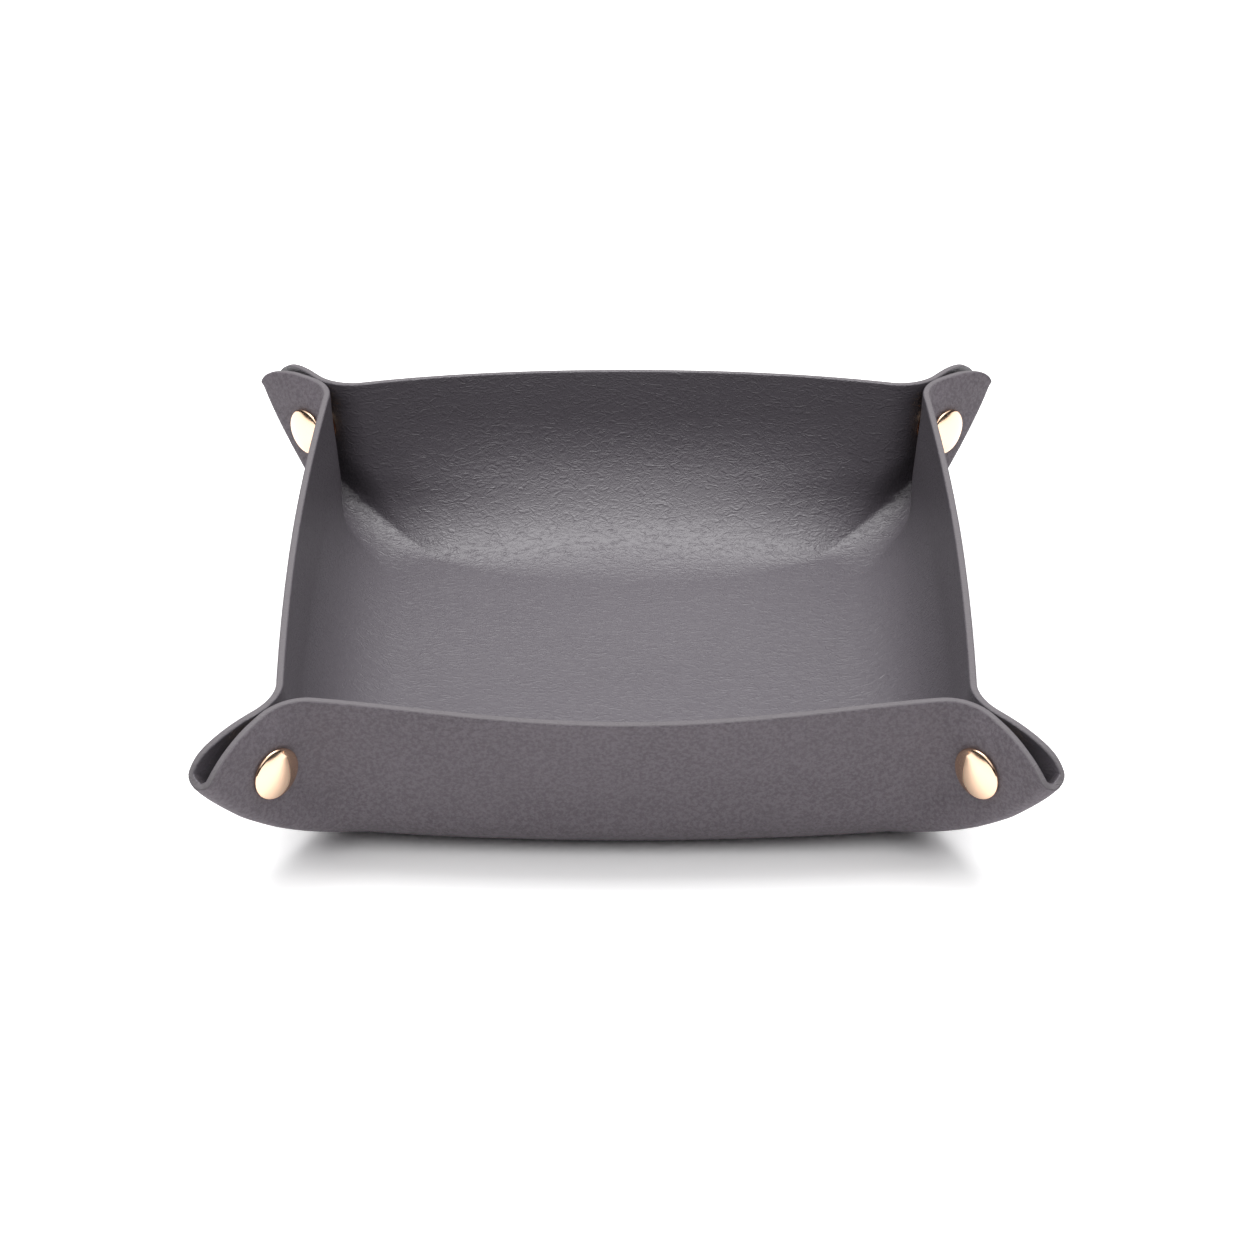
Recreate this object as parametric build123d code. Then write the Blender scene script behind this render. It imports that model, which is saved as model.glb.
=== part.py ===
from build123d import *
import math
import os

# A leather valet tray: one square sheet, drawn up at its four corners into ears that snaps hold.
# Millimetres, Z up, the origin in the middle of the underside. X is to the right, the front is -Y.

# The sheet, as it is cut and laid flat
sheet_side = 225.0
sheet_thickness = 1.8
sheet_corner_radius = 26.0

# The tray, as the sheet stands when its corners are snapped
floor_half = 58.0
floor_corner_radius = 9.0
wall_end_bend_share = 0.33
wall_end_angle = 84.0
front_middle_overhang = 6.5
front_middle_bend_share = 0.22
front_middle_angle = 74.5
back_middle_inset = 12.0
back_middle_bend_share = 0.6
back_middle_angle = 78.0
side_middle_inset = 6.0
side_middle_bend_share = 0.446
side_middle_angle = 85.0

# The ears, on the middle of the leather
fold_start = 6.0
neck_start_radius = 24.0
neck_snap_radius = 8.0
neck_rim_radius = 12.0
ear_start = 8.0
ear_side_length = 23.0
ear_rim_side_length = 22.5
ear_tip_radius = 4.0
ear_rim_gap = 0.18
front_ear_droop = 6.5
back_ear_droop = 0.5

# The holes in the flat sheet, from the edge above them and from the edge beside them
hole_from_edge = 14.5
hole_from_side = 30.5
hole_clearance = 0.15
seat_depth = 0.15
seat_clearance = 0.15
seat_flat_margin = 0.75
hole_overrun = 1.5
seat_overrun = 0.5

# The snaps: cap and socket on one layer of the ear, stud and post on the other
layer_gap = 4.0
cap_radius = 6.25
cap_height = 2.2
cap_edge_radius = 0.45
cap_plate_thickness = 0.6
stem_radius = 1.7
stem_bore_radius = 1.2
stem_roll_radius = 2.15
stem_roll_thickness = 0.45
stem_clearance = 0.08
socket_flange_radius = 5.15
socket_flange_thickness = 0.4
socket_body_radius = 4.1
socket_floor_thickness = 0.5
socket_bore_radius = 2.5
socket_groove_radius = 3.25
socket_lip_thickness = 0.35
socket_mouth_gap = 0.35
socket_edge_radius = 0.3
spring_wire_radius = 0.3
spring_ring_radius = 2.35
spring_slot_angle = 40.0
spring_side_clearance = 0.05
stud_flange_radius = 4.75
stud_flange_thickness = 0.4
stud_neck_radius = 1.85
stud_neck_length = 1.4
stud_head_radius = 2.2
stud_head_rise = 0.45
stud_head_length = 0.9
stud_head_edge_radius = 0.35
stud_bore_radius = 1.55
stud_cavity_radius = 1.8
stud_top_thickness = 0.35
post_flange_radius = 4.35
post_height = 0.65
post_edge_radius = 0.2
post_tube_radius = 1.45
post_bore_radius = 1.05
post_roll_radius = 1.75
post_roll_thickness = 0.4

# What follows from these sizes
sheet_half = sheet_side / 2
wall_length = sheet_half - floor_half
snap_half_gap = (layer_gap + sheet_thickness) / 2
seat_flat_half = cap_radius + seat_flat_margin
band_low = (wall_length - hole_from_edge - seat_flat_half) / wall_length
band_high = (wall_length - hole_from_edge + seat_flat_half) / wall_length
hole_level = (wall_length - hole_from_edge) / wall_length
half_right_angle = math.pi / 4
diagonal_share = math.sqrt(0.5)
ear_rim_reach = math.hypot(ear_tip_radius, ear_rim_side_length)
ear_rim_half_gap = (ear_rim_gap + sheet_thickness) / 2
ear_flare = math.acos(ear_rim_half_gap / ear_rim_reach) - math.atan(ear_rim_side_length / ear_tip_radius)

# How finely the leather's faces are drawn: levels from the floor to the rim, and stations along it
level_shares = (0, 0.05, 0.12, 0.2, 0.29, 0.38, 0.46, 0.54, 0.62, 0.7, 0.78, 0.86, 0.93, 1)
wall_stations = 5
ear_stations = 40
ear_station_start_share = 0.64
slope_step_share = 0.0005


def smooth(share):
    """A soft step: 0 up to 0, 1 from 1 on, and level at both ends."""
    share = min(max(share, 0), 1)
    return share * share * (3 - 2 * share)


def mix(low, high, share):
    return low + (high - low) * share


# Each wall's profile in its middle: where the floor ends, the bend's share of the wall, and its angle
wall_middles = {
    "front": (floor_half + front_middle_overhang, front_middle_bend_share, front_middle_angle),
    "back": (floor_half - back_middle_inset, back_middle_bend_share, back_middle_angle),
    "side": (floor_half - side_middle_inset, side_middle_bend_share, side_middle_angle),
}


def wall_profile(level, floor_reach, bend_share, angle):
    """How far out and how high a wall has come at a level: a round bend from the floor, then straight."""
    length = sheet_half - floor_reach
    radius = bend_share * length
    bend = math.radians(angle)
    turned = min(level * length / radius, bend)
    straight = max(level * length - radius * bend, 0)
    out = floor_reach + radius * math.sin(turned) + straight * math.cos(bend)
    rise = radius * (1 - math.cos(turned)) + straight * math.sin(bend)
    return out, rise


class Contour:
    """The line round the tray at one level of the wall, in one eighth of it: wall, neck, ear side, tip.

    level is the share of the wall's length from the floor. d is measured along the corner's diagonal,
    h across it, and every arc is tangent to the piece before it. A wall has one profile at its ends,
    by the necks, and another in its middle, with a parabola between them.
    """

    def __init__(self, level, wall):
        self.level = level
        self.out, rise = wall_profile(level, floor_half, wall_end_bend_share, wall_end_angle)
        self.z = sheet_thickness / 2 + rise
        low_fold = fold_start / wall_length
        self.fold = smooth((level - low_fold) / (band_low - low_fold))
        self.flare = smooth((level - band_high) / (1 - band_high))
        ear = smooth((level - ear_start / wall_length) / (1 - ear_start / wall_length))
        self.neck = mix(mix(neck_start_radius, neck_snap_radius, self.fold), neck_rim_radius, self.flare)
        self.tip = mix(mix(floor_corner_radius, snap_half_gap, self.fold), ear_tip_radius, self.flare)
        self.side = mix(ear_side_length * ear, ear_rim_side_length, self.flare)
        ear_end = self.meet_diagonal("back")
        ear_end += (2 * self.out - self.h / diagonal_share) * diagonal_share
        reach = self.meet_diagonal(wall)
        self.wall = (ear_end + self.h - reach) * diagonal_share
        self.x = self.wall - self.h / diagonal_share
        bow_angle = self.turn - half_right_angle
        self.bow = self.x * math.tan(bow_angle) / 2
        self.wall_run = self.x * (1 + bow_angle * bow_angle / 6)
        self.neck_run = self.neck * (self.turn + self.open)
        self.tip_run = self.tip * (2 * half_right_angle + self.open)
        self.run = self.wall_run + self.neck_run + self.side + self.tip_run

    def meet_diagonal(self, wall):
        """Give the line the turn of one wall, and say how far from the wall's end the ear's tip is."""
        middle_out, middle_rise = wall_profile(self.level, *wall_middles[wall])
        self.lift = middle_rise - self.z + sheet_thickness / 2
        bow_angle = math.atan(2 * (middle_out - self.out) / (self.out - floor_corner_radius))
        self.turn = half_right_angle + bow_angle
        self.open = -self.turn * (1 - self.fold) + ear_flare * self.flare
        closing = self.neck * (math.cos(self.open) - math.cos(self.turn))
        self.h = closing - self.side * math.sin(self.open) + self.tip * math.cos(self.open)
        neck_reach = self.neck * (math.sin(self.turn) + math.sin(self.open))
        return neck_reach + self.side * math.cos(self.open) + self.tip * (1 + math.sin(self.open))

    def point(self, run, droop):
        """The point of a wall's half at a length along the line, with the wall drawn as the front's right."""
        if run <= self.wall_run:
            share = run / self.wall_run
            middle_share = 1 - share * share
            lift = self.lift * middle_share * middle_share
            return Vector(self.x * share, -(self.wall + self.bow * middle_share), self.z + lift)
        along_neck = min(run - self.wall_run, self.neck_run)
        along_side = min(max(run - self.wall_run - self.neck_run, 0), self.side)
        along_tip = max(run - self.wall_run - self.neck_run - self.side, 0)
        heading = self.turn - along_neck / self.neck
        d = (self.wall + self.x) * diagonal_share + self.neck * (math.sin(self.turn) - math.sin(heading))
        h = self.h - self.neck * (math.cos(heading) - math.cos(self.turn))
        d += along_side * math.cos(self.open)
        h += along_side * math.sin(self.open)
        heading = -self.open + along_tip / self.tip
        d += self.tip * (math.sin(heading) + math.sin(self.open))
        h -= self.tip * (math.cos(self.open) - math.cos(heading))
        sunk = droop * smooth((run - self.wall_run) / (self.run - self.wall_run))
        return Vector((d - h) * diagonal_share, -(d + h) * diagonal_share, self.z - sunk)


def rim_level(share):
    """The level of the cut edge at a share along the contour: full on the wall, less at the round corner."""
    centre = sheet_half - sheet_corner_radius
    if share * sheet_half <= centre:
        return 1
    spread = 1 + share * share
    b = centre * (1 + share)
    y = (b + math.sqrt(b * b - spread * (2 * centre * centre - sheet_corner_radius ** 2))) / spread
    return (y - floor_half) / wall_length


def middle(height, share, droop, wall):
    """The middle of the leather at a share of the way from floor to rim and a share along the contour."""
    level = height * rim_level(share)
    contour = Contour(level, wall)
    return contour.point(share * contour.run, droop * level * level)


def leather(height, share, offset, droop, wall):
    """A point of the sheet, moved by offset along its outward normal."""
    place = middle(height, share, droop, wall)
    if height == 0:
        return place - Vector(0, 0, offset)
    step = slope_step_share
    low = middle(max(height - step, 0), share, droop, wall)
    high = middle(min(height + step, 1), share, droop, wall)
    near = middle(height, max(share - step, 0), droop, wall)
    far = middle(height, min(share + step, 1), droop, wall)
    outward = (far - near).cross(high - low)
    if share == 0:
        outward = Vector(0, outward.Y, outward.Z)
    return place + outward.normalized() * offset


def stations():
    """Shares along a contour, a few on the wall and many from the neck to the ear's tip."""
    wall = [ear_station_start_share * i / wall_stations for i in range(wall_stations)]
    ear = [mix(ear_station_start_share, 1, i / ear_stations) for i in range(ear_stations + 1)]
    return wall + ear


def corner_edge(height, offset, sign_x, sign_y):
    """The line through one corner, from the middle of the front or back wall to that of the side wall."""
    droop = front_ear_droop if sign_y < 0 else back_ear_droop
    shares = stations()
    wall = "front" if sign_y < 0 else "back"
    first = [leather(height, share, offset, droop, wall) for share in shares]
    second = [leather(height, share, offset, droop, "side") for share in reversed(shares[:-1])]
    second = [Vector(-p.Y, -p.X, p.Z) for p in second]
    tip = first[-1]
    even = (tip.X - tip.Y) / 2
    first[-1] = Vector(even, -even, tip.Z)
    places = [Vector(sign_x * p.X, -sign_y * p.Y, p.Z) for p in first + second]
    marks = shares + [2 - share for share in reversed(shares[:-1])]
    ends = [Vector(sign_x, 0, 0), Vector(0, -sign_y, 0)]
    return Edge.make_spline(places, tangents=ends, parameters=[m / 2 for m in marks])


def ring(height, offset):
    """One closed line round the tray."""
    edges = [corner_edge(height, offset, sign_x, sign_y) for sign_x, sign_y in corners.values()]
    return Wire(edges)


def make_sheet():
    """The sheet's outer and inner face, its cut edge between them, and the flat of the floor."""
    half = sheet_thickness / 2
    outer = [ring(height, half) for height in level_shares]
    inner = [ring(height, -half) for height in level_shares]
    faces = list(Shell.make_loft(outer).faces())
    faces += Shell.make_loft(inner).faces()
    faces += Shell.make_loft([outer[-1], inner[-1]], ruled=True).faces()
    faces += [Face(outer[0]), Face(inner[0])]
    return Solid(Shell(faces))


def outline_point(radius, along):
    return (radius, 0, along)


def dome(radius, low, top):
    """The round line from the top of a dome, on its axis, down to its edge."""
    rise = top - low
    ball = (radius * radius + rise * rise) / (2 * rise)
    lean = math.asin(radius / ball) / 2
    middle_point = outline_point(ball * math.sin(lean), top - ball * (1 - math.cos(lean)))
    return ThreePointArc(outline_point(0, top), middle_point, outline_point(radius, low))


def rounding(centre, radius, start, end):
    """A round corner in an outline, between two directions in degrees from the radius."""
    places = []
    for turn in (start, (start + end) / 2, end):
        lean = math.radians(turn)
        places.append(outline_point(centre[0] + radius * math.cos(lean), centre[1] + radius * math.sin(lean)))
    return ThreePointArc(*places)


def straight_lines(*points):
    return Polyline(*[outline_point(radius, along) for radius, along in points])


def turned(*lines):
    """A solid turned about Z from the lines of its outline."""
    return revolve(make_face(Wire([edge for line in lines for edge in line.edges()])), Axis.Z)


# Places along a snap's axis, from the middle of the ear: the cap's side is up
outer_face = snap_half_gap + sheet_thickness / 2
inner_face = snap_half_gap - sheet_thickness / 2
outer_seat = outer_face - seat_depth
inner_seat = inner_face + seat_depth
stud_front = stud_flange_thickness - inner_seat
socket_mouth = stud_front + socket_mouth_gap
spring_middle = socket_mouth + socket_lip_thickness + spring_wire_radius + spring_side_clearance
stud_head_start = stud_front + stud_neck_length
stud_top = stud_head_start + stud_head_rise + stud_head_length


def make_cap():
    """A domed cap with a rolled edge, and its stem, rolled over inside the socket."""
    roll_top = inner_seat - socket_floor_thickness
    roll_end = roll_top - stem_roll_thickness
    edge_centre = (cap_radius - cap_edge_radius, outer_seat + cap_edge_radius)
    return turned(
        dome(cap_radius, edge_centre[1], outer_seat + cap_height),
        rounding(edge_centre, cap_edge_radius, 0, -90),
        straight_lines(
            (edge_centre[0], outer_seat),
            (stem_radius, outer_seat),
            (stem_radius, roll_top),
            (stem_roll_radius, roll_top),
            (stem_roll_radius, roll_end),
            (stem_bore_radius, roll_end),
            (stem_bore_radius, outer_seat + cap_plate_thickness),
            (0, outer_seat + cap_plate_thickness),
            (0, outer_seat + cap_height),
        ),
    )


def make_socket():
    """A flanged cup on the cap's stem, with a groove for the ring spring behind its lip."""
    groove_low = socket_mouth + socket_lip_thickness
    groove_high = spring_middle + spring_wire_radius + spring_side_clearance
    edge_centre = (socket_body_radius - socket_edge_radius, socket_mouth + socket_edge_radius)
    return turned(
        rounding(edge_centre, socket_edge_radius, 0, -90),
        straight_lines(
            (edge_centre[0], socket_mouth),
            (socket_bore_radius, socket_mouth),
            (socket_bore_radius, groove_low),
            (socket_groove_radius, groove_low),
            (socket_groove_radius, groove_high),
            (socket_bore_radius, groove_high),
            (socket_bore_radius, inner_seat - socket_floor_thickness),
            (stem_radius + stem_clearance, inner_seat - socket_floor_thickness),
            (stem_radius + stem_clearance, inner_seat),
            (socket_flange_radius, inner_seat),
            (socket_flange_radius, inner_seat - socket_flange_thickness),
            (socket_body_radius, inner_seat - socket_flange_thickness),
            (socket_body_radius, edge_centre[1]),
        ),
    )


def make_ring_spring():
    """The split ring that grips the stud behind its head."""
    wire = Pos(spring_ring_radius, 0, spring_middle) * (Plane.XZ * Circle(spring_wire_radius))
    return revolve(wire, Axis.Z, 360 - spring_slot_angle)


def make_stud():
    """A flanged stud: a narrow neck under a wider head, hollow for the post."""
    edge_centre = (stud_head_radius - stud_head_edge_radius, stud_top - stud_head_edge_radius)
    return turned(
        rounding(edge_centre, stud_head_edge_radius, 90, 0),
        straight_lines(
            (stud_head_radius, edge_centre[1]),
            (stud_head_radius, stud_head_start + stud_head_rise),
            (stud_neck_radius, stud_head_start),
            (stud_neck_radius, stud_front),
            (stud_flange_radius, stud_front),
            (stud_flange_radius, -inner_seat),
            (stud_bore_radius, -inner_seat),
            (stud_bore_radius, stud_head_start),
            (stud_cavity_radius, stud_head_start + stud_head_rise),
            (stud_cavity_radius, stud_top - stud_top_thickness),
            (0, stud_top - stud_top_thickness),
            (0, stud_top),
            (edge_centre[0], stud_top),
        ),
    )


def make_post():
    """A low domed flange outside the ear, with a tube that is rolled over inside the stud."""
    roll_low = stud_head_start + stud_head_rise
    edge_centre = (post_flange_radius - post_edge_radius, -outer_seat - post_edge_radius)
    return turned(
        dome(post_flange_radius, edge_centre[1], -outer_seat - post_height),
        rounding(edge_centre, post_edge_radius, 0, 90),
        straight_lines(
            (edge_centre[0], -outer_seat),
            (post_tube_radius, -outer_seat),
            (post_tube_radius, roll_low),
            (post_roll_radius, roll_low),
            (post_roll_radius, roll_low + post_roll_thickness),
            (post_bore_radius, roll_low + post_roll_thickness),
            (post_bore_radius, -outer_seat),
            (0, -outer_seat),
            (0, -outer_seat - post_height),
        ),
    )


def snap_place(sign_x, sign_y):
    """The snap's frame: its origin between the ear's layers, its Z towards the cap."""
    droop = front_ear_droop if sign_y < 0 else back_ear_droop
    share = (sheet_half - hole_from_side) / (sheet_half - hole_from_edge)
    height = hole_level / rim_level(share)
    hole = middle(height, share, droop, "side")
    even = (hole.X - hole.Y) / 2
    place = Vector(sign_x * even, sign_y * even, hole.Z)
    return Plane(origin=place, x_dir=(0, 0, 1), z_dir=(sign_x * sign_y, -1, 0))


def plug(radius, low, high):
    """A round cutter along a snap's axis."""
    return extrude(Plane.XY.offset(low) * Circle(radius), high - low)


def snap_cuts():
    """The holes in both layers of one ear, and the seats that the snap presses into the leather."""
    cap_hole = stem_radius + hole_clearance
    post_hole = post_tube_radius + hole_clearance
    return [
        plug(cap_hole, inner_face - hole_overrun, outer_face + hole_overrun),
        plug(cap_radius + seat_clearance, outer_seat, outer_face + seat_overrun),
        plug(socket_flange_radius + seat_clearance, inner_face - seat_overrun, inner_seat),
        plug(post_hole, -outer_face - hole_overrun, -inner_face + hole_overrun),
        plug(post_flange_radius + seat_clearance, -outer_face - seat_overrun, -outer_seat),
        plug(stud_flange_radius + seat_clearance, -inner_seat, -inner_face + seat_overrun),
    ]


corners = {
    "front_left": (-1, -1),
    "front_right": (1, -1),
    "back_left": (-1, 1),
    "back_right": (1, 1),
}
makers = {
    "snap_cap": make_cap,
    "snap_socket": make_socket,
    "snap_ring_spring": make_ring_spring,
    "snap_stud": make_stud,
    "snap_post": make_post,
}

os.makedirs("parts", exist_ok=True)
sheet = make_sheet()
for corner, (sign_x, sign_y) in corners.items():
    place = snap_place(sign_x, sign_y).location
    for cut in snap_cuts():
        sheet = sheet - place * cut
    for name, make in makers.items():
        export_step(place * make(), f"parts/{corner}_{name}.step")
export_step(sheet, "parts/leather_sheet.step")
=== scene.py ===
import math

import bpy
import numpy as np
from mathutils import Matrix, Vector


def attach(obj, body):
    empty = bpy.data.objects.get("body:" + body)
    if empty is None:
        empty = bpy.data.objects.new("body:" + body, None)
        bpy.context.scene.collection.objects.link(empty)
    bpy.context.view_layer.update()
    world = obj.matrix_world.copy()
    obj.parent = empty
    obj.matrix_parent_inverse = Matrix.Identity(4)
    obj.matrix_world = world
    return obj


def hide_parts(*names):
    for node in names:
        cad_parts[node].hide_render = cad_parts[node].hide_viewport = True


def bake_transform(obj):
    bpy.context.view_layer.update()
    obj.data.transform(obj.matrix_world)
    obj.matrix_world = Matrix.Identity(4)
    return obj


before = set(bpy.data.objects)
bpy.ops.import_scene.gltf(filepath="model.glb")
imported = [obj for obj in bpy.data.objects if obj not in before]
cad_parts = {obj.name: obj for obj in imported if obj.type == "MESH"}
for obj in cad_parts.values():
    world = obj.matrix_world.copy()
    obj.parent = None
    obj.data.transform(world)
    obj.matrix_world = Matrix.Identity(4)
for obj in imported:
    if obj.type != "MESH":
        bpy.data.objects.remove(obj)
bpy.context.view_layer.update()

print("frame loaded")


# Shader maths

# A number that runs from node to node: sums and products of it add Math nodes
class Flow:
    def __init__(self, nodes, socket):
        self.nodes = nodes
        self.socket = socket

    def maths(self, operation, first, second=0.0):
        return self.nodes.add("ShaderNodeMath", {"operation": operation}, {0: first, 1: second})

    def __add__(self, other):
        return self.maths("ADD", self, other)

    def __sub__(self, other):
        return self.maths("SUBTRACT", self, other)

    def __mul__(self, other):
        return self.maths("MULTIPLY", self, other)

    def __rsub__(self, other):
        return self.maths("SUBTRACT", other, self)

    def __abs__(self):
        return self.maths("ABSOLUTE", self)

    __radd__ = __add__
    __rmul__ = __mul__


# The nodes that feed one shader, in a material or in the world
class ShaderNodes:
    def __init__(self, owner, shader, constants):
        owner.use_nodes = True
        self.owner = owner
        self.tree = owner.node_tree
        self.shader = self.tree.nodes[shader]
        for socket, value in constants.items():
            self.shader.inputs[socket].default_value = value

    # A node by its type, its settings, and values or flows for its sockets
    def add(self, kind, settings, sockets, output=0):
        node = self.tree.nodes.new(kind)
        for key, value in settings.items():
            setattr(node, key, value)
        for key, value in sockets.items():
            self.feed(node.inputs[key], value)
        return Flow(self, node.outputs[output])

    def feed(self, socket, value):
        if isinstance(value, Flow):
            self.tree.links.new(value.socket, socket)
        else:
            socket.default_value = value

    def objectPlace(self):
        return self.add("ShaderNodeTexCoord", {}, {}, "Object")

    def noise(self, place, size, detail, roughness, distortion=0.0):
        sockets = {
            "Vector": place, "Scale": 1 / size,
            "Detail": detail, "Roughness": roughness, "Distortion": distortion,
        }
        return self.add("ShaderNodeTexNoise", {}, sockets, "Fac")

    def blend(self, amount, first, second):
        return self.add("ShaderNodeMix", {"data_type": "RGBA"}, {0: amount, 6: first, 7: second}, 2)

    # 0 below low, 1 above high, soft between
    def step(self, value, low, high):
        settings = {"interpolation_type": "SMOOTHSTEP"}
        return self.add("ShaderNodeMapRange", settings, {"Value": value, "From Min": low, "From Max": high})

    def bump(self, height, distance, strength, normal=None):
        sockets = {"Height": height, "Distance": distance, "Strength": strength}
        if normal is not None:
            sockets["Normal"] = normal
        return self.add("ShaderNodeBump", {}, sockets)

    def paint(self, socket, value):
        self.feed(self.shader.inputs[socket], value)


def newFinish(name, constants):
    return ShaderNodes(bpy.data.materials.new(name), "Principled BSDF", constants)


def tint(red, green, blue):
    return (red, green, blue, 1.0)


# Sizes of the sheet, flat and snapped up, in millimetres and degrees. A wall's profile is where the
# floor ends, the bend's share of the wall, and the wall's angle: one at its ends, one in its middle
leather = dict(
    flatSide=225.0, thickness=1.8, cornerRadius=26.0, floorHalf=58.0, floorCorner=9.0,
    ends=(58.0, 0.33, 84.0), front=(64.5, 0.22, 74.5), back=(46.0, 0.6, 78.0), side=(52.0, 0.446, 85.0),
    foldStart=6.0, neckStart=24.0, neckAtSnap=8.0, neckAtRim=12.0,
    earStart=8.0, earSide=23.0, earRimSide=22.5, tipAtRim=4.0, rimGap=0.18,
    frontDroop=6.5, backDroop=0.5, holeFromEdge=14.5, holeFromSide=30.5, flatRound=7.0, layerGap=4.0,
)
mm = 0.001
half = leather["flatSide"] / 2
wallLength = half - leather["floorHalf"]
halfGap = (leather["layerGap"] + leather["thickness"]) / 2
diagonal = math.sqrt(0.5)
corners = {"front_left": (-1, -1), "front_right": (1, -1), "back_left": (-1, 1), "back_right": (1, 1)}


def smooth(share):
    share = np.clip(share, 0, 1)
    return share * share * (3 - 2 * share)


def mix(first, second, share):
    return first + (second - first) * share


# How far out and how high a wall has come at a level: a round bend from the floor, then straight
def wallProfile(level, floorReach, bendShare, angle):
    bend = math.radians(angle)
    radius = bendShare * (half - floorReach)
    run = level * (half - floorReach)
    turned = np.minimum(run / radius, bend)
    straight = np.maximum(run - radius * bend, 0)
    out = floorReach + radius * np.sin(turned) + straight * math.cos(bend)
    return out, radius * (1 - np.cos(turned)) + straight * math.sin(bend)


# The line round one eighth of the tray at a level of the wall: a wall bowed as a parabola, then the
# neck's arc, the ear's straight side and the tip's arc, each tangent to the one before
def contour(level, wall):
    out, rise = wallProfile(level, *leather["ends"])
    bandLow = 1 - (leather["holeFromEdge"] + leather["flatRound"]) / wallLength
    bandHigh = 1 - (leather["holeFromEdge"] - leather["flatRound"]) / wallLength
    lowFold = leather["foldStart"] / wallLength
    lowEar = leather["earStart"] / wallLength
    fold = smooth((level - lowFold) / (bandLow - lowFold))
    flare = smooth((level - bandHigh) / (1 - bandHigh))
    rimReach = math.hypot(leather["tipAtRim"], leather["earRimSide"])
    halfRimGap = (leather["rimGap"] + leather["thickness"]) / 2
    sideTurn = math.atan(leather["earRimSide"] / leather["tipAtRim"])
    fullFlare = math.acos(halfRimGap / rimReach) - sideTurn
    side = leather["earSide"] * smooth((level - lowEar) / (1 - lowEar))
    line = {"z": leather["thickness"] / 2 + rise}
    line["neck"] = mix(mix(leather["neckStart"], leather["neckAtSnap"], fold), leather["neckAtRim"], flare)
    line["tip"] = mix(mix(leather["floorCorner"], halfGap, fold), leather["tipAtRim"], flare)
    line["side"] = mix(side, leather["earRimSide"], flare)

    # Give the line the turn of one wall, and return how far from that wall's end the ear's tip is
    def meetDiagonal(name):
        middleOut, middleRise = wallProfile(level, *leather[name])
        line["lift"] = middleRise - rise
        line["turn"] = math.pi / 4 + np.arctan(2 * (middleOut - out) / (out - leather["floorCorner"]))
        line["open"] = -line["turn"] * (1 - fold) + fullFlare * flare
        closing = line["neck"] * (np.cos(line["open"]) - np.cos(line["turn"]))
        line["aside"] = closing - line["side"] * np.sin(line["open"]) + line["tip"] * np.cos(line["open"])
        neckReach = line["neck"] * (np.sin(line["turn"]) + np.sin(line["open"]))
        return neckReach + line["side"] * np.cos(line["open"]) + line["tip"] * (1 + np.sin(line["open"]))

    # The back wall sets where the ears end, and each wall's end is put where its ear ends there too
    backReach = meetDiagonal("back")
    earEnd = backReach + 2 * out * diagonal - line["aside"]
    wallReach = meetDiagonal(wall)
    line["wall"] = (earEnd + line["aside"] - wallReach) * diagonal
    line["x"] = line["wall"] - line["aside"] / diagonal
    bow = line["turn"] - math.pi / 4
    line["bow"] = line["x"] * np.tan(bow) / 2
    line["wallRun"] = line["x"] * (1 + bow * bow / 6)
    line["neckRun"] = line["neck"] * (line["turn"] + line["open"])
    tipRun = line["tip"] * (math.pi / 2 + line["open"])
    line["run"] = line["wallRun"] + line["neckRun"] + line["side"] + tipRun
    return line


# The cut edge's level at a share along the line: lower where the sheet's corner is round
def rimLevel(share):
    radius = leather["cornerRadius"]
    centre = half - radius
    spread = 1 + share * share
    across = centre * (1 + share)
    root = np.sqrt(np.maximum(across * across - spread * (2 * centre * centre - radius * radius), 0))
    edge = np.where(share * half <= centre, half, (across + root) / spread)
    return (edge - leather["floorHalf"]) / wallLength


# The middle of the leather on half a wall, drawn as the front's right half, by height (0 floor,
# 1 rim) and share (0 the wall's middle, 1 the ear's tip)
def middleOfLeather(height, share, droop, wall):
    level = height * rimLevel(share)
    line = contour(level, wall)
    run = share * line["run"]
    along = run / line["wallRun"]
    onWall = run <= line["wallRun"]
    alongNeck = np.clip(run - line["wallRun"], 0, line["neckRun"])
    alongSide = np.clip(run - line["wallRun"] - line["neckRun"], 0, line["side"])
    alongTip = np.maximum(run - line["wallRun"] - line["neckRun"] - line["side"], 0)

    # In the ear: how far out along the corner's diagonal, and how far aside from it
    turn = line["turn"] - alongNeck / line["neck"]
    far = (line["wall"] + line["x"]) * diagonal + line["neck"] * (np.sin(line["turn"]) - np.sin(turn))
    aside = line["aside"] - line["neck"] * (np.cos(turn) - np.cos(line["turn"]))
    far = far + alongSide * np.cos(line["open"])
    aside = aside + alongSide * np.sin(line["open"])
    turn = alongTip / line["tip"] - line["open"]
    far = far + line["tip"] * (np.sin(turn) + np.sin(line["open"]))
    aside = aside - line["tip"] * (np.cos(line["open"]) - np.cos(turn))

    x = np.where(onWall, line["x"] * along, (far - aside) * diagonal)
    wallY = line["wall"] + line["bow"] * (1 - along * along)
    y = np.where(onWall, -wallY, -(far + aside) * diagonal)
    sunk = droop * level * level * smooth((run - line["wallRun"]) / (line["run"] - line["wallRun"]))
    lift = np.where(onWall, line["lift"] * (1 - along * along) ** 2, 0)
    return np.stack([x, y, line["z"] + lift - sunk], -1)


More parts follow.
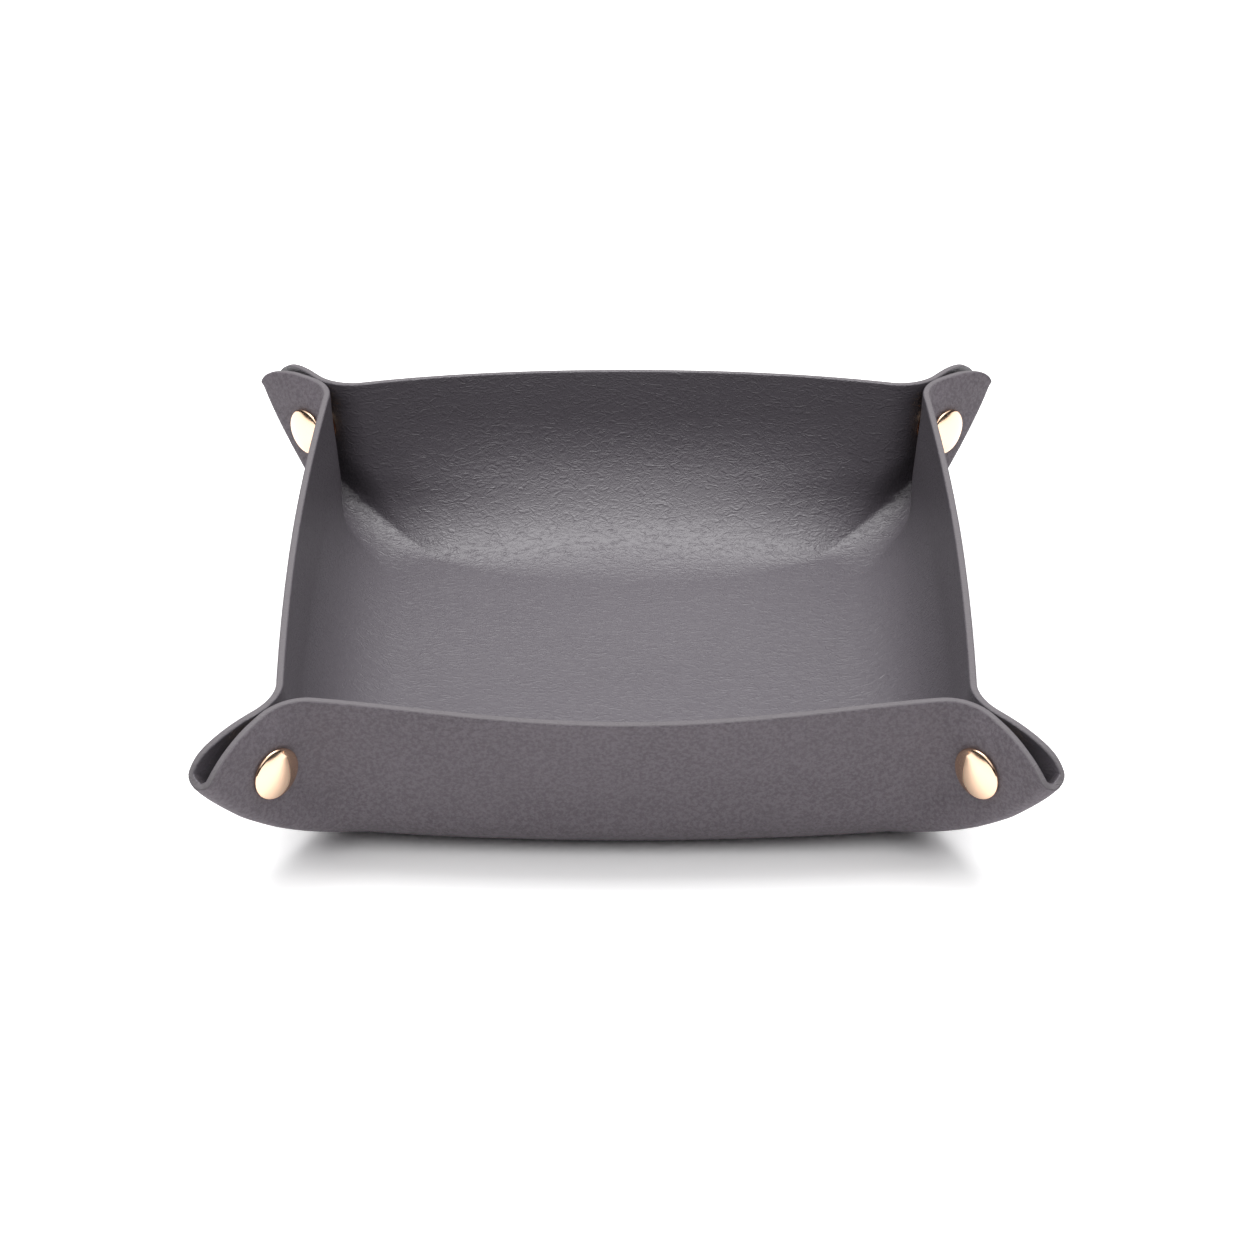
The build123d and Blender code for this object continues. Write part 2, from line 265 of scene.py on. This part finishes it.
# A point off the middle of the leather: offset outwards, beyond up past the cut edge
def leatherPoint(height, share, offset, beyond, droop, wall):
    step = 0.0005
    place = middleOfLeather(height, share, droop, wall)
    up = (middleOfLeather(np.minimum(height + step, 1), share, droop, wall)
          - middleOfLeather(np.maximum(height - step, 0), share, droop, wall))
    along = (middleOfLeather(height, np.minimum(share + step, 1), droop, wall)
             - middleOfLeather(height, np.maximum(share - step, 0), droop, wall))

    # Outwards is square to the wall in its middle, and straight down at the floor
    outward = np.cross(along, up)
    outward[share == 0, 0] = 0
    outward[height == 0] = (0, 0, -1)
    outward /= np.linalg.norm(outward, axis=-1, keepdims=True)
    up /= np.linalg.norm(up, axis=-1, keepdims=True)
    return place + outward * offset[..., None] + up * beyond[..., None]


def wallName(onSide, signY):
    return "side" if onSide else "front" if signY < 0 else "back"


# The caps are on the front wall's layer of the front ears and on the side walls' layer of the back ears
def hasCap(onSide, signY):
    return onSide == (signY > 0)


# The front wall's right half turned to one of the eight halves of walls
def toCorner(points, onSide, signX, signY):
    if onSide:
        points = np.stack([-points[..., 1], -points[..., 0], points[..., 2]], -1)
    return points * np.array([signX, -signY, 1])


# Where a snap's axis crosses the middle of its ear, and its direction towards the cap
def snapAxis(signX, signY):
    droop = leather["frontDroop"] if signY < 0 else leather["backDroop"]
    share = np.array((half - leather["holeFromSide"]) / (half - leather["holeFromEdge"]))
    height = (wallLength - leather["holeFromEdge"]) / wallLength / rimLevel(share)
    hole = middleOfLeather(height, share, droop, "side")
    even = (hole[0] - hole[1]) / 2
    centre = np.array([signX * even, signY * even, hole[2]])
    return centre, np.array([signX * signY, -1, 0]) * diagonal


# Runs along which each half of a loosened ear would follow its stud: both runs are measured from the snap's
# axis, one from the neck and one from the tip, and the leather would follow the lesser of the two. Here
# they only set where the stud's layer is split
loosening = dict(
    neckLean=9.4, neckStart=-14.1, frontTipLean=51.9, backTipLean=47.0, tipStart=-7.5, full=-4.75,
    firstShare=0.5, splitShare=0.87, lowSplit=0.80, highSplit=0.98, splitSamples=61, startHeight=0.38,
)


def looseningRun(signX, signY, fromTip):
    outwards = np.array([signX, signY, 0]) * diagonal
    if fromTip:
        lean = math.radians(loosening["frontTipLean" if signY < 0 else "backTipLean"])
        direction = -outwards * math.cos(lean) + np.array([0, 0, 1]) * math.sin(lean)
        return direction, loosening["tipStart"], loosening["full"]
    lean = math.radians(loosening["neckLean"])
    direction = outwards * math.cos(lean) + np.array([0, 0, 1]) * math.sin(lean)
    return direction, loosening["neckStart"], loosening["full"]


def looseningShare(points, signX, signY, fromTip):
    centre = snapAxis(signX, signY)[0]
    direction, start, end = looseningRun(signX, signY, fromTip)
    return ((points - centre) @ direction - start) / (end - start)


# The pattern of the mesh: rows from the middle of the floor, up the inside, over the cut edge, down
# the outside and under the floor, columns round the tray
pattern = dict(
    floorRows=7, wallRows=50, lastRowShare=0.985, wallColumns=15, earColumns=58, earShare=0.62,
    edgeRound=0.4, edgeRows=4, edgeFlatRows=2,
)


def rowPattern():
    heights = np.linspace(0, 1, pattern["wallRows"])
    heights = np.append(heights[heights < pattern["lastRowShare"]], pattern["lastRowShare"])
    heights[np.argmin(abs(heights - loosening["startHeight"]))] = loosening["startHeight"]
    halfThick = leather["thickness"] / 2
    turn = np.linspace(0, math.pi / 2, pattern["edgeRows"])
    corner = pattern["edgeRound"]
    edgeOffset = -halfThick + corner - corner * np.cos(turn)
    edgeBeyond = corner * np.sin(turn) - corner
    flatOffset = np.linspace(edgeOffset[-1], 0, pattern["edgeFlatRows"] + 1)[1:]
    floor = np.linspace(0, 1, pattern["floorRows"] + 1)[1:-1]
    floorCount, wallCount, flatCount = len(floor), len(heights), len(flatOffset)
    height = np.concatenate([np.zeros(floorCount), heights, np.ones(len(turn) + flatCount)])
    offset = np.concatenate([np.full(floorCount + wallCount, -halfThick), edgeOffset, flatOffset])
    beyond = np.concatenate([np.zeros(floorCount + wallCount), edgeBeyond, np.zeros(flatCount)])
    inwards = np.concatenate([floor, np.ones(wallCount + len(turn) + flatCount)])
    mirror = slice(-2, None, -1)
    return {
        "height": np.concatenate([height, height[mirror]]),
        "offset": np.concatenate([offset, -offset[mirror]]),
        "beyond": np.concatenate([beyond, beyond[mirror]]),
        "inwards": np.concatenate([inwards, inwards[mirror]]),
        "lastWall": floorCount + wallCount - 1,
        "firstLoose": floorCount + int(np.argmin(abs(heights - loosening["startHeight"]))),
    }


def columnPattern():
    wall = np.linspace(0, pattern["earShare"], pattern["wallColumns"], endpoint=False)
    ear = np.linspace(pattern["earShare"], 1, pattern["earColumns"])
    shares = np.concatenate([wall, ear])

    # The nearest columns go to where a loosened layer starts and where it splits in two
    for share in (loosening["firstShare"], loosening["splitShare"]):
        shares[np.argmin(abs(shares - share))] = share
    return shares


rows = rowPattern()
shares = columnPattern()
rowCount, halfColumns = len(rows["height"]), len(shares) - 1
splitColumn = int(np.argmin(abs(shares - loosening["splitShare"])))
firstColumn = int(np.argmin(abs(shares - loosening["firstShare"])))


def rowArrays(columnShares):
    shape = columnShares.shape
    return [np.broadcast_to(rows[key][:, None], shape) for key in ("height", "offset", "beyond")]


# The shares of one half wall's columns, row by row. On the stud's layer the split column follows the
# line on which both loosening runs are equal
def columnShares(onSide, signX, signY, droop):
    even = np.broadcast_to(shares, (rowCount, len(shares)))
    if hasCap(onSide, signY):
        return even
    fine = np.linspace(loosening["lowSplit"], loosening["highSplit"], loosening["splitSamples"])
    fineRows = np.broadcast_to(fine, (rowCount, len(fine)))
    height, offset, beyond = rowArrays(fineRows)
    points = leatherPoint(height, fineRows, offset, beyond, droop, wallName(onSide, signY))
    points = toCorner(points, onSide, signX, signY)
    ahead = looseningShare(points, signX, signY, False) - looseningShare(points, signX, signY, True)
    crossed = ahead > 0
    crossed[:, -1] = True
    after = np.maximum(np.argmax(crossed, axis=1), 1)
    pick = np.arange(rowCount)
    before = ahead[pick, after - 1]
    part = np.clip(-before / (ahead[pick, after] - before), 0, 1)
    split = fine[after - 1] + part * (fine[1] - fine[0])
    first = rows["firstLoose"]
    split[:first] = split[first]
    split[rowCount - first:] = split[rowCount - 1 - first]
    low = shares[firstColumn]
    scaleBefore = (split[:, None] - low) / (shares[splitColumn] - low)
    scaleAfter = (1 - split[:, None]) / (1 - shares[splitColumn])
    towardsNeck = low + (even - low) * scaleBefore
    towardsTip = 1 - (1 - even) * scaleAfter
    moved = np.where(even <= shares[splitColumn], towardsNeck, towardsTip)
    return np.where(even < low, even, moved)


# The four pressed rings round a snap: cap and socket on one layer, stud and post on the other
pressed = dict(
    capRadius=6.5, socketRadius=5.4, studRadius=5.0, postRadius=4.6,
    depth=0.17, softEdge=1.6, reach=6.0, faceDepth=0.01,
)


# Leather near a snap's axis goes towards its own middle by the depth, fading over the soft edge
def pressLeather(points, offset, signX, signY):
    centre, axis = snapAxis(signX, signY)
    away = points - centre
    height = away @ axis
    radius = np.linalg.norm(away - height[..., None] * axis, axis=-1)
    onCapLayer = height > 0
    outside = offset > 0
    flange = np.where(
        onCapLayer,
        np.where(outside, pressed["capRadius"], pressed["socketRadius"]),
        np.where(outside, pressed["postRadius"], pressed["studRadius"]),
    )
    onFace = abs(offset) > leather["thickness"] / 2 - pressed["faceDepth"]
    near = (abs(height) < pressed["reach"]) & onFace
    depth = pressed["depth"] * (1 - smooth((radius - flange) / pressed["softEdge"])) * near
    towardsMiddle = np.where(onCapLayer == outside, -1, 1)
    return points + axis * (depth * towardsMiddle)[..., None]


def halfWall(corner, onSide):
    signX, signY = corners[corner]
    droop = leather["frontDroop"] if signY < 0 else leather["backDroop"]
    wallShares = columnShares(onSide, signX, signY, droop)
    height, offset, beyond = rowArrays(wallShares)
    points = leatherPoint(height, wallShares, offset, beyond, droop, wallName(onSide, signY))
    points = toCorner(points, onSide, signX, signY)
    points[..., :2] *= rows["inwards"][:, None, None]
    return pressLeather(points, offset, signX, signY)


# The eight half walls in turn, from the front wall's middle to the right
around = [
    ("front_right", False), ("front_right", True), ("back_right", True), ("back_right", False),
    ("back_left", False), ("back_left", True), ("front_left", True), ("front_left", False),
]


def wholeSheet():
    halves = [halfWall(corner, onSide) for corner, onSide in around]

    # The two layers of an ear share one line at its tip
    for i in range(0, len(halves), 2):
        tip = (halves[i][:, -1] + halves[i + 1][:, -1]) / 2
        halves[i][:, -1] = halves[i + 1][:, -1] = tip
    ordered = [part if i % 2 == 0 else part[:, ::-1] for i, part in enumerate(halves)]
    return np.concatenate([part[:, :-1] for part in ordered], axis=1)


sheetPoints = wholeSheet()
columnCount = sheetPoints.shape[1]
pole = np.array([[0, 0, leather["thickness"]], [0, 0, 0]])
allPoints = np.concatenate([sheetPoints.reshape(-1, 3), pole])
innerPole, outerPole = rowCount * columnCount, rowCount * columnCount + 1
thick = leather["thickness"]
acrossRow = np.clip(rows["offset"] / thick + 0.5, 0, 1)
allAcross = np.concatenate([np.repeat(acrossRow, columnCount), [0.0, 1.0]])


def vertexAt(row, column):
    return row * columnCount + column % columnCount


# Quads of a block of the pattern, facing away from the leather
def blockFaces(firstRow, lastRow, firstCol, lastCol):
    row, column = np.meshgrid(np.arange(firstRow, lastRow), np.arange(firstCol, lastCol), indexing="ij")
    quad = [vertexAt(row, column), vertexAt(row + 1, column),
            vertexAt(row + 1, column + 1), vertexAt(row, column + 1)]
    return np.stack(quad, -1).reshape(-1, 4)


# The cut through the leather round a block: two sides and the bottom, facing out of the block
def cutFaces(firstRow, firstCol, lastCol):
    last = rowCount - 1
    row = np.arange(firstRow, rows["lastWall"])
    column = np.arange(firstCol, lastCol)
    side = [[vertexAt(row + 1, c), vertexAt(row, c), vertexAt(last - row, c), vertexAt(last - row - 1, c)]
            for c in (firstCol, lastCol)]
    edge = np.arange(last - rows["lastWall"], rows["lastWall"] - 1, -1)
    bottom = [vertexAt(firstRow, column), vertexAt(firstRow, column + 1),
              vertexAt(last - firstRow, column + 1), vertexAt(last - firstRow, column)]
    faces = np.stack(side[0], -1).tolist() + np.stack(side[1][::-1], -1).tolist()
    faces += [vertexAt(edge, firstCol).tolist(), vertexAt(edge[::-1], lastCol).tolist()]
    return faces + np.stack(bottom, -1).tolist()


# Normals of the whole sheet from its quads, so that the pieces' borders don't show
def sheetNormals():
    quads = blockFaces(0, rowCount - 1, 0, columnCount)
    places = allPoints[quads]
    faceNormal = np.cross(places[:, 2] - places[:, 0], places[:, 3] - places[:, 1])
    normals = np.zeros_like(allPoints)
    for k in range(4):
        np.add.at(normals, quads[:, k], faceNormal)
    normals[innerPole] = (0, 0, 1)
    normals[outerPole] = (0, 0, -1)
    return normals / np.linalg.norm(normals, axis=1, keepdims=True)


allNormals = sheetNormals()


def newObject(name, points, faces):
    mesh = bpy.data.meshes.new(name)
    mesh.from_pydata((points * mm).tolist(), [], faces)
    mesh.shade_smooth()
    thing = bpy.data.objects.new(name, mesh)
    bpy.context.collection.objects.link(thing)
    return thing


# A leather piece from faces of the pattern, with its own points, normals and place across the edge
def leatherPiece(name, faces):
    flat = np.concatenate([np.asarray(face).ravel() for face in faces])
    used = np.unique(flat)
    renumber = np.zeros(len(allPoints), int)
    renumber[used] = np.arange(len(used))
    faces = [renumber[np.asarray(face)].tolist() for face in faces]
    piece = newObject(name, allPoints[used], faces)
    across = piece.data.attributes.new("across", "FLOAT", "POINT")
    across.data.foreach_set("value", allAcross[used].astype(np.float32))
    piece.data.normals_split_custom_set_from_vertices(allNormals[used].tolist())
    return piece


# The sheet in pieces: the tray, and two patches for each ear's layer that has the stud, which are cut
# out of the tray and meet at the split column
def makeLeather():
    last = rowCount - 1
    lowRow, highRow = rows["firstLoose"], last - rows["firstLoose"]
    keep = np.ones((last, columnCount), bool)
    walls, patches = [], []
    for i, (corner, onSide) in enumerate(around):
        if hasCap(onSide, corners[corner][1]):
            continue
        start = i * halfColumns
        columns = [start + k for k in (firstColumn, splitColumn, halfColumns)]
        if i % 2:
            columns = [start + halfColumns - k for k in (halfColumns, splitColumn, firstColumn)]
        keep[lowRow:highRow, columns[0]:columns[2]] = False
        walls += [face[::-1] for face in cutFaces(lowRow, columns[0], columns[2])]
        for k in (0, 1):
            faces = blockFaces(lowRow, highRow, columns[k], columns[k + 1]).tolist()
            faces += cutFaces(lowRow, columns[k], columns[k + 1])
            fromTip = (k == 1) == (i % 2 == 0)
            patch = leatherPiece(f"{corner}_ear_{'tip' if fromTip else 'neck'}_side", faces)
            patches.append((patch, corner, fromTip))
    faces = blockFaces(0, last, 0, columnCount)[keep.ravel()].tolist()
    column = np.arange(columnCount)
    inner = [np.full(columnCount, innerPole), vertexAt(0, column), vertexAt(0, column + 1)]
    outer = [np.full(columnCount, outerPole), vertexAt(last, column + 1), vertexAt(last, column)]
    faces += np.stack(inner, -1).tolist() + np.stack(outer, -1).tolist() + walls
    return leatherPiece("leather_tray", faces), patches


leatherTray, earPatches = makeLeather()
print("leather made:", len(leatherTray.data.polygons), "faces and", len(earPatches), "patches")


# Along a snap's axis from the middle of its ear, in millimetres
snap = dict(
    seatDepth=0.15, capRadius=6.25, capHeight=2.2, capEdge=0.55, plate=0.6, socketFloor=0.5,
    stemRadius=1.7, stemRoll=2.15, stemBore=1.2, rollThickness=0.45,
    postRadius=4.35, postHeight=0.65, postEdge=0.2, postPlate=0.1,
    tubeRadius=1.45, tubeRoll=1.75, tubeBore=1.05, tubeRollThickness=0.4,
    studFront=-1.75, studNeck=1.4, studRise=0.45,
    turns=96, capRings=26, postRings=14, edgeRings=12, sharpAngle=40,
)
outerSeat = halfGap + thick / 2 - snap["seatDepth"]
innerSeat = halfGap - thick / 2 + snap["seatDepth"]


# A profile of (radius, height) points turned about the axis: a ring of points for each
def turnedSolid(name, profile, centre, axis):
    profile = np.array(profile)
    angle = np.linspace(0, 2 * math.pi, snap["turns"], endpoint=False)
    across = np.array([0, 0, 1.0])
    sideways = np.cross(axis, across)
    ring = np.cos(angle)[:, None] * across + np.sin(angle)[:, None] * sideways
    body = centre + profile[1:-1, 1, None, None] * axis + profile[1:-1, 0, None, None] * ring
    count, turns = len(profile) - 2, snap["turns"]
    points = np.concatenate([body.reshape(-1, 3), centre + profile[[0, -1], 1, None] * axis])
    row, column = np.meshgrid(np.arange(count - 1), np.arange(turns), indexing="ij")
    after = (column + 1) % turns
    quads = np.stack([row * turns + column, (row + 1) * turns + column,
                      (row + 1) * turns + after, row * turns + after], -1).reshape(-1, 4)
    column = np.arange(turns)
    after = (column + 1) % turns
    first = np.stack([np.full(turns, count * turns), column, after], -1)
    lastRing = (count - 1) * turns
    last = np.stack([np.full(turns, count * turns + 1), lastRing + after, lastRing + column], -1)
    piece = newObject(name, points, quads.tolist() + first.tolist() + last.tolist())
    piece.data.set_sharp_from_angle(angle=math.radians(snap["sharpAngle"]))
    return piece


def arcPoints(centre, radius, start, end, count):
    turn = np.radians(np.linspace(start, end, count))
    return [(centre[0] + radius * math.cos(angle), centre[1] + radius * math.sin(angle)) for angle in turn]


# A dome's outline from its top to its edge: a ball's cap, tangent to a rolled edge of a small radius
def domeOutline(radius, edge, low, top, count):
    rise = top - low - edge
    reach = radius - edge
    ball = (reach * reach + rise * rise - edge * edge) / (2 * (rise - edge))
    centre = top - ball
    lean = math.degrees(math.asin(reach / (ball - edge)))
    outline = arcPoints((0, centre), ball, 90, 90 - lean, count)
    outline += arcPoints((reach, low + edge), edge, 90 - lean, -90, snap["edgeRings"])[1:]
    return outline


def capProfile():
    top = outerSeat + snap["capHeight"]
    rollTop = innerSeat - snap["socketFloor"]
    rollEnd = rollTop - snap["rollThickness"]
    boreEnd = outerSeat + snap["plate"]
    return domeOutline(snap["capRadius"], snap["capEdge"], outerSeat, top, snap["capRings"]) + [
        (snap["stemRadius"], outerSeat), (snap["stemRadius"], rollTop), (snap["stemRoll"], rollTop),
        (snap["stemRoll"], rollEnd), (snap["stemBore"], rollEnd), (snap["stemBore"], boreEnd), (0, boreEnd),
    ]


def postProfile():
    rollLow = snap["studFront"] + snap["studNeck"] + snap["studRise"]
    rollHigh = rollLow + snap["tubeRollThickness"]
    boreEnd = snap["postPlate"] - outerSeat
    top = outerSeat + snap["postHeight"]
    button = domeOutline(snap["postRadius"], snap["postEdge"], outerSeat, top, snap["postRings"])
    return [(radius, -along) for radius, along in button] + [
        (snap["tubeRadius"], -outerSeat), (snap["tubeRadius"], rollLow), (snap["tubeRoll"], rollLow),
        (snap["tubeRoll"], rollHigh), (snap["tubeBore"], rollHigh),
        (snap["tubeBore"], boreEnd), (0, boreEnd),
    ]


caps, posts = {}, {}
for corner, (signX, signY) in corners.items():
    centre, axis = snapAxis(signX, signY)
    caps[corner] = turnedSolid(f"{corner}_cap_dome", capProfile()[::-1], centre, axis)
    posts[corner] = turnedSolid(f"{corner}_post_button", postProfile(), centre, axis)
print("snaps made")


# In a finish's look, a noise is its size in metres, detail, roughness and perhaps distortion, and
# limits are where a soft step starts and ends
def leatherFinish():
    look = dict(
        inner=tint(0.114, 0.103, 0.118), innerPatch=tint(0.132, 0.119, 0.136),
        outer=tint(0.172, 0.149, 0.171), speck=tint(0.070, 0.058, 0.068),
        cut=tint(0.190, 0.174, 0.187), cutFibre=tint(0.090, 0.082, 0.089),
        cutBorder=tint(0.110, 0.100, 0.108), reflection=0.75,
        innerRough=0.39, outerRough=0.80, cutRough=0.85, patchRough=0.08,
        outerLimits=(0.86, 0.94), cutLimits=(0.08, 0.16),
        lowBorderLimits=(0.06, 0.26), highBorderLimits=(0.74, 0.94), speckLimits=(0.36, 0.64),
        patchNoise=(0.030, 3, 0.6), speckNoise=(0.0009, 3, 0.7), fibreNoise=(0.0005, 2, 0.7),
        creaseNoise=(0.0016, 2, 0.5, 1.2), poreNoise=(0.0008, 2, 0.6), swellNoise=(0.045, 1, 0.4),
        leastSpecks=0.35, patchySpecks=0.4, innerPatches=0.5, innerFibres=0.3, cutFibres=0.5,
        outerCreaseLoss=0.3, innerPores=0.15, outerPoreGain=0.45, fibreGrain=0.1,
        grainTurn=(0.6, 0.5, 0.4), creaseStretch=(0.6, 1.0, 1.1),
        grainDepth=0.00021, grainStrength=1.0, swellDepth=0.0012, swellStrength=0.35,
    )
    nodes = newFinish("grey_leather", {"Specular IOR Level": look["reflection"]})
    turned = {"Vector": nodes.objectPlace(), "Rotation": look["grainTurn"]}
    place = nodes.add("ShaderNodeMapping", {}, turned)
    stretched = nodes.add("ShaderNodeMapping", {}, {**turned, "Scale": look["creaseStretch"]})

    # Through the leather: 0 on the inner face, 1 on the outer face, between them on the cut edge
    across = nodes.add("ShaderNodeAttribute", {"attribute_name": "across"}, {}, "Fac")
    outside = nodes.step(across, *look["outerLimits"])
    onEdge = nodes.step(across, *look["cutLimits"]) * (1 - outside)
    lowBorder = nodes.step(across, *look["lowBorderLimits"])
    highBorder = nodes.step(across, *look["highBorderLimits"])
    border = 1 - lowBorder * (1 - highBorder)

    # Colour: patches inside, dark specks outside, fibres and darker borders on the cut
    patchy = nodes.noise(place, *look["patchNoise"])
    specks = nodes.step(nodes.noise(place, *look["speckNoise"]), *look["speckLimits"])
    fibres = nodes.noise(place, *look["fibreNoise"])
    specks = specks * (look["leastSpecks"] + patchy * look["patchySpecks"])
    outerColour = nodes.blend(specks, look["outer"], look["speck"])
    patches = patchy * look["innerPatches"] + fibres * look["innerFibres"]
    innerColour = nodes.blend(patches, look["inner"], look["innerPatch"])
    cutColour = nodes.blend(border, look["cut"], look["cutBorder"])
    cutColour = nodes.blend(fibres * look["cutFibres"], cutColour, look["cutFibre"])
    faceColour = nodes.blend(outside, innerColour, outerColour)
    nodes.paint("Base Color", nodes.blend(onEdge, faceColour, cutColour))
    rough = look["innerRough"] + outside * (look["outerRough"] - look["innerRough"])
    rough = rough + patchy * look["patchRough"] - look["patchRough"] / 2
    nodes.paint("Roughness", rough + onEdge * (look["cutRough"] - rough))

    # Grain: creases where a stretched noise crosses its middle, pores, and a slow swell under them
    creases = abs(nodes.noise(stretched, *look["creaseNoise"]) - 0.5) * 2
    pores = nodes.noise(place, *look["poreNoise"])
    swell = nodes.noise(place, *look["swellNoise"])
    height = creases * (1 - outside * look["outerCreaseLoss"])
    height = height + pores * (look["innerPores"] + outside * look["outerPoreGain"])
    height = height + fibres * look["fibreGrain"]
    grain = nodes.bump(height, look["grainDepth"], look["grainStrength"])
    nodes.paint("Normal", nodes.bump(swell, look["swellDepth"], look["swellStrength"], grain))
    return nodes.owner


def roseGoldFinish():
    look = dict(
        worn=tint(0.96, 0.66, 0.46), bright=tint(0.98, 0.70, 0.50),
        wearNoise=(0.006, 3, 0.6), fineNoise=(0.0006, 2, 0.6),
        rough=0.075, wearRough=0.05, fineRough=0.03, waveDepth=0.00004, waveStrength=0.3,
    )
    nodes = newFinish("rose_gold", {"Metallic": 1.0})
    place = nodes.objectPlace()
    wear = nodes.noise(place, *look["wearNoise"])
    fine = nodes.noise(place, *look["fineNoise"])
    nodes.paint("Base Color", nodes.blend(wear, look["worn"], look["bright"]))
    nodes.paint("Roughness", look["rough"] + wear * look["wearRough"] + fine * look["fineRough"])
    nodes.paint("Normal", nodes.bump(wear, look["waveDepth"], look["waveStrength"]))
    return nodes.owner


def springFinish():
    look = dict(
        dark=tint(0.50, 0.49, 0.47), light=tint(0.62, 0.60, 0.57),
        drawnNoise=(0.0008, 2, 0.5), rough=0.28, drawnRough=0.15,
    )
    nodes = newFinish("spring_steel", {"Metallic": 1.0})
    drawn = nodes.noise(nodes.objectPlace(), *look["drawnNoise"])
    nodes.paint("Base Color", nodes.blend(drawn, look["dark"], look["light"]))
    nodes.paint("Roughness", look["rough"] + drawn * look["drawnRough"])
    return nodes.owner


greyLeather, roseGold, springSteel = leatherFinish(), roseGoldFinish(), springFinish()


def dress(thing, material):
    if not thing.data.materials:
        thing.data.materials.append(material)
    for place in thing.material_slots:
        place.material = material


for piece in [leatherTray] + [patch for patch, corner, fromTip in earPatches]:
    dress(piece, greyLeather)
for corner in corners:
    for piece in (caps[corner], posts[corner]):
        dress(piece, roseGold)

# The CAD's own pieces, of which the sockets, springs and studs stay in sight
for node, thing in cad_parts.items():
    dress(thing, springSteel if "ring_spring" in node else roseGold)
print("finishes on")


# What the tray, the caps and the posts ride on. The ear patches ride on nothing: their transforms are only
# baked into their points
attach(leatherTray, "tray")
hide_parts("leather_sheet")
for corner in corners:
    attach(caps[corner], "tray")
    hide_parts(f"{corner}_snap_cap")
    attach(posts[corner], f"{corner}_snap_half")
    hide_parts(f"{corner}_snap_post")
for piece, corner, fromTip in earPatches:
    signX, signY = corners[corner]
    centre = snapAxis(signX, signY)[0]
    direction, start, end = looseningRun(signX, signY, fromTip)
    tuple((centre + direction * start) * mm)
    tuple((centre + direction * end) * mm)
    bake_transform(piece)


# Table, light and camera. The floor's levels are for the light that it throws on the tray, for what the
# metal mirrors and for the camera. The sky's levels go with heights from the horizon, 0, to the top, 1.
# The soft box looks at the tray
studio = dict(
    floorSize=6.0, floorRough=0.9, floorReflection=0.1, floorLevels=(0.86, 1.32, 1.40),
    skyLevels=((0.10, 0.04), (0.22, 0.03), (0.45, 0.03), (0.75, 1.36)),
    boxPlace=(0.0, 0.14, 1.00), boxSize=(1.00, 0.50), boxWatts=6.9,
    cameraDistance=0.8696, cameraLift=30.669, target=(0, 0, 0.01834),
    sensorWidth=36.0, lens=100.8, shift=(0.0004, -0.0033),
)


def makeFloor():
    size = studio["floorSize"] / 2
    points = np.array([[-size, -size, 0], [size, -size, 0], [size, size, 0], [-size, size, 0]]) / mm
    floor = newObject("table_top", points, [[0, 1, 2, 3]])
    constants = {"Roughness": studio["floorRough"], "Specular IOR Level": studio["floorReflection"]}
    nodes = newFinish("white_table", constants)
    thrown, mirrored, seen = [tint(level, level, level) for level in studio["floorLevels"]]
    glossyRay = nodes.add("ShaderNodeLightPath", {}, {}, "Is Glossy Ray")
    cameraRay = nodes.add("ShaderNodeLightPath", {}, {}, "Is Camera Ray")
    unseen = nodes.blend(glossyRay, thrown, mirrored)
    nodes.paint("Base Color", nodes.blend(cameraRay, unseen, seen))
    dress(floor, nodes.owner)


def makeWorld():
    world = bpy.data.worlds.new("studio")
    bpy.context.scene.world = world
    nodes = ShaderNodes(world, "Background", {})
    direction = nodes.add("ShaderNodeTexCoord", {}, {}, "Generated")
    height = nodes.add("ShaderNodeSeparateXYZ", {}, {"Vector": direction}, "Z")
    sky = nodes.add("ShaderNodeValToRGB", {}, {"Fac": height}, "Color")
    elements = sky.socket.node.color_ramp.elements
    while len(elements) < len(studio["skyLevels"]):
        elements.new(1.0)
    for element, (place, level) in zip(elements, studio["skyLevels"]):
        element.position = place
        element.color = tint(level, level, level)
    nodes.paint("Color", sky)


def makeLight():
    lamp = bpy.data.lights.new("overhead_box", "AREA")
    lamp.shape = "RECTANGLE"
    lamp.size, lamp.size_y = studio["boxSize"]
    lamp.energy = studio["boxWatts"]
    holder = bpy.data.objects.new("overhead_box", lamp)
    holder.location = studio["boxPlace"]
    holder.rotation_euler = (-Vector(studio["boxPlace"])).to_track_quat("-Z", "Y").to_euler()
    bpy.context.collection.objects.link(holder)


def makeCamera():
    lift = math.radians(studio["cameraLift"])
    back = Vector((0, -math.cos(lift), math.sin(lift)))
    target = Vector(studio["target"])
    data = bpy.data.cameras.new("camera")
    data.sensor_width = studio["sensorWidth"]
    data.lens = studio["lens"]
    data.shift_x, data.shift_y = studio["shift"]
    camera = bpy.data.objects.new("camera", data)
    camera.location = target + back * studio["cameraDistance"]
    camera.rotation_euler = (-back).to_track_quat("-Z", "Y").to_euler()
    bpy.context.collection.objects.link(camera)
    bpy.context.scene.camera = camera


makeFloor()
makeWorld()
makeLight()
makeCamera()
bpy.context.scene.view_settings.view_transform = "Standard"
print("studio ready")
